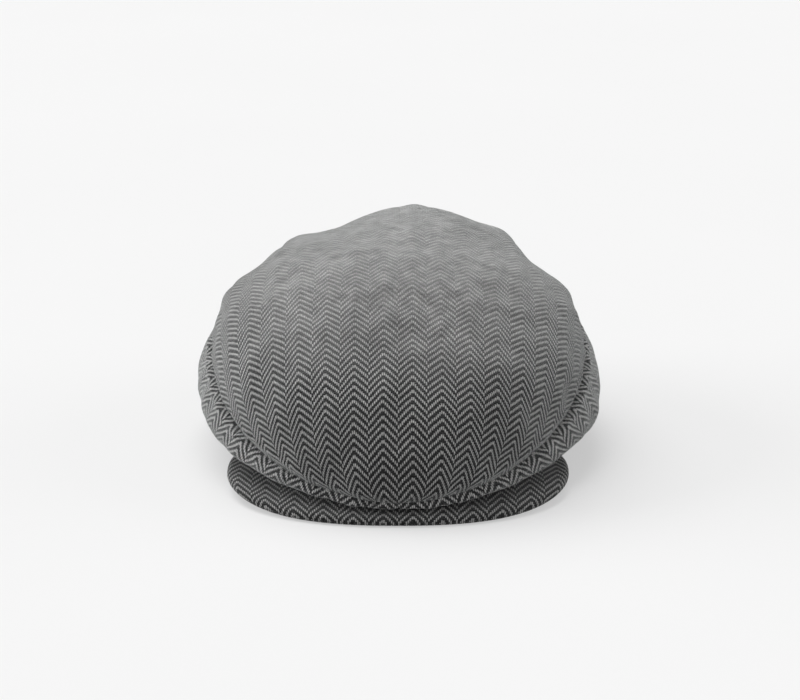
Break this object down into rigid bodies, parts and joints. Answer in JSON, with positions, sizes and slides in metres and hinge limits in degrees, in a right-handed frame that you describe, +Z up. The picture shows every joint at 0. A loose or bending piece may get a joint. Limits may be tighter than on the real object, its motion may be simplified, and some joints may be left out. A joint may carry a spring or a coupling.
{
  "type": "flat cap",
  "caption": "Herringbone wool flat cap: one-piece top, two side panels, lined crown with sweatband and a stiff visor snapped to the crown.",
  "frame": {"origin": "centre of the head opening, on the plane of the back hem", "axes": "+Z up out of the crown, -Y to the front over the visor, +X to the wearer's left"},
  "size_m": [0.219, 0.2658, 0.107],
  "materials": {
    "tweed": "woollen herringbone tweed, charcoal with light grey yarn",
    "wadding": "thin polyester wadding",
    "satin": "satin lining",
    "grosgrain": "ribbed cotton sweatband",
    "binding": "folded cotton tape",
    "label": "woven tape, blank",
    "thread": "sewing thread",
    "visor_board": "flexible visor board",
    "snap_metal": "black lacquered press stud",
    "spring_wire": "bright spring wire"
  },
  "bodies": {
    "crown": {"top_panel": "tweed", "side_panel_left": "tweed", "side_panel_right": "tweed", "top_wadding": "wadding", "lining_top": "satin", "lining_side_left": "satin", "lining_side_right": "satin", "sweatband": "grosgrain", "sweatband_stitches": "thread", "hem_binding": "binding", "woven_label": "label", "size_tab": "label", "snap_socket": "snap_metal", "snap_spring": "spring_wire", "snap_socket_stitches": "thread"},
    "visor": {"visor_board": "visor_board", "visor_upper_cover": "tweed", "visor_under_cover": "tweed", "snap_stud": "snap_metal", "snap_stud_stitches": "thread"}
  },
  "joints": [
    {"name": "visor_hinge", "type": "hinge", "parent": "crown", "child": "visor", "pos_m": [0, -0.0533, 0.0045], "axis": [1, 0, 0], "range_deg": [0, 8]}
  ]
}
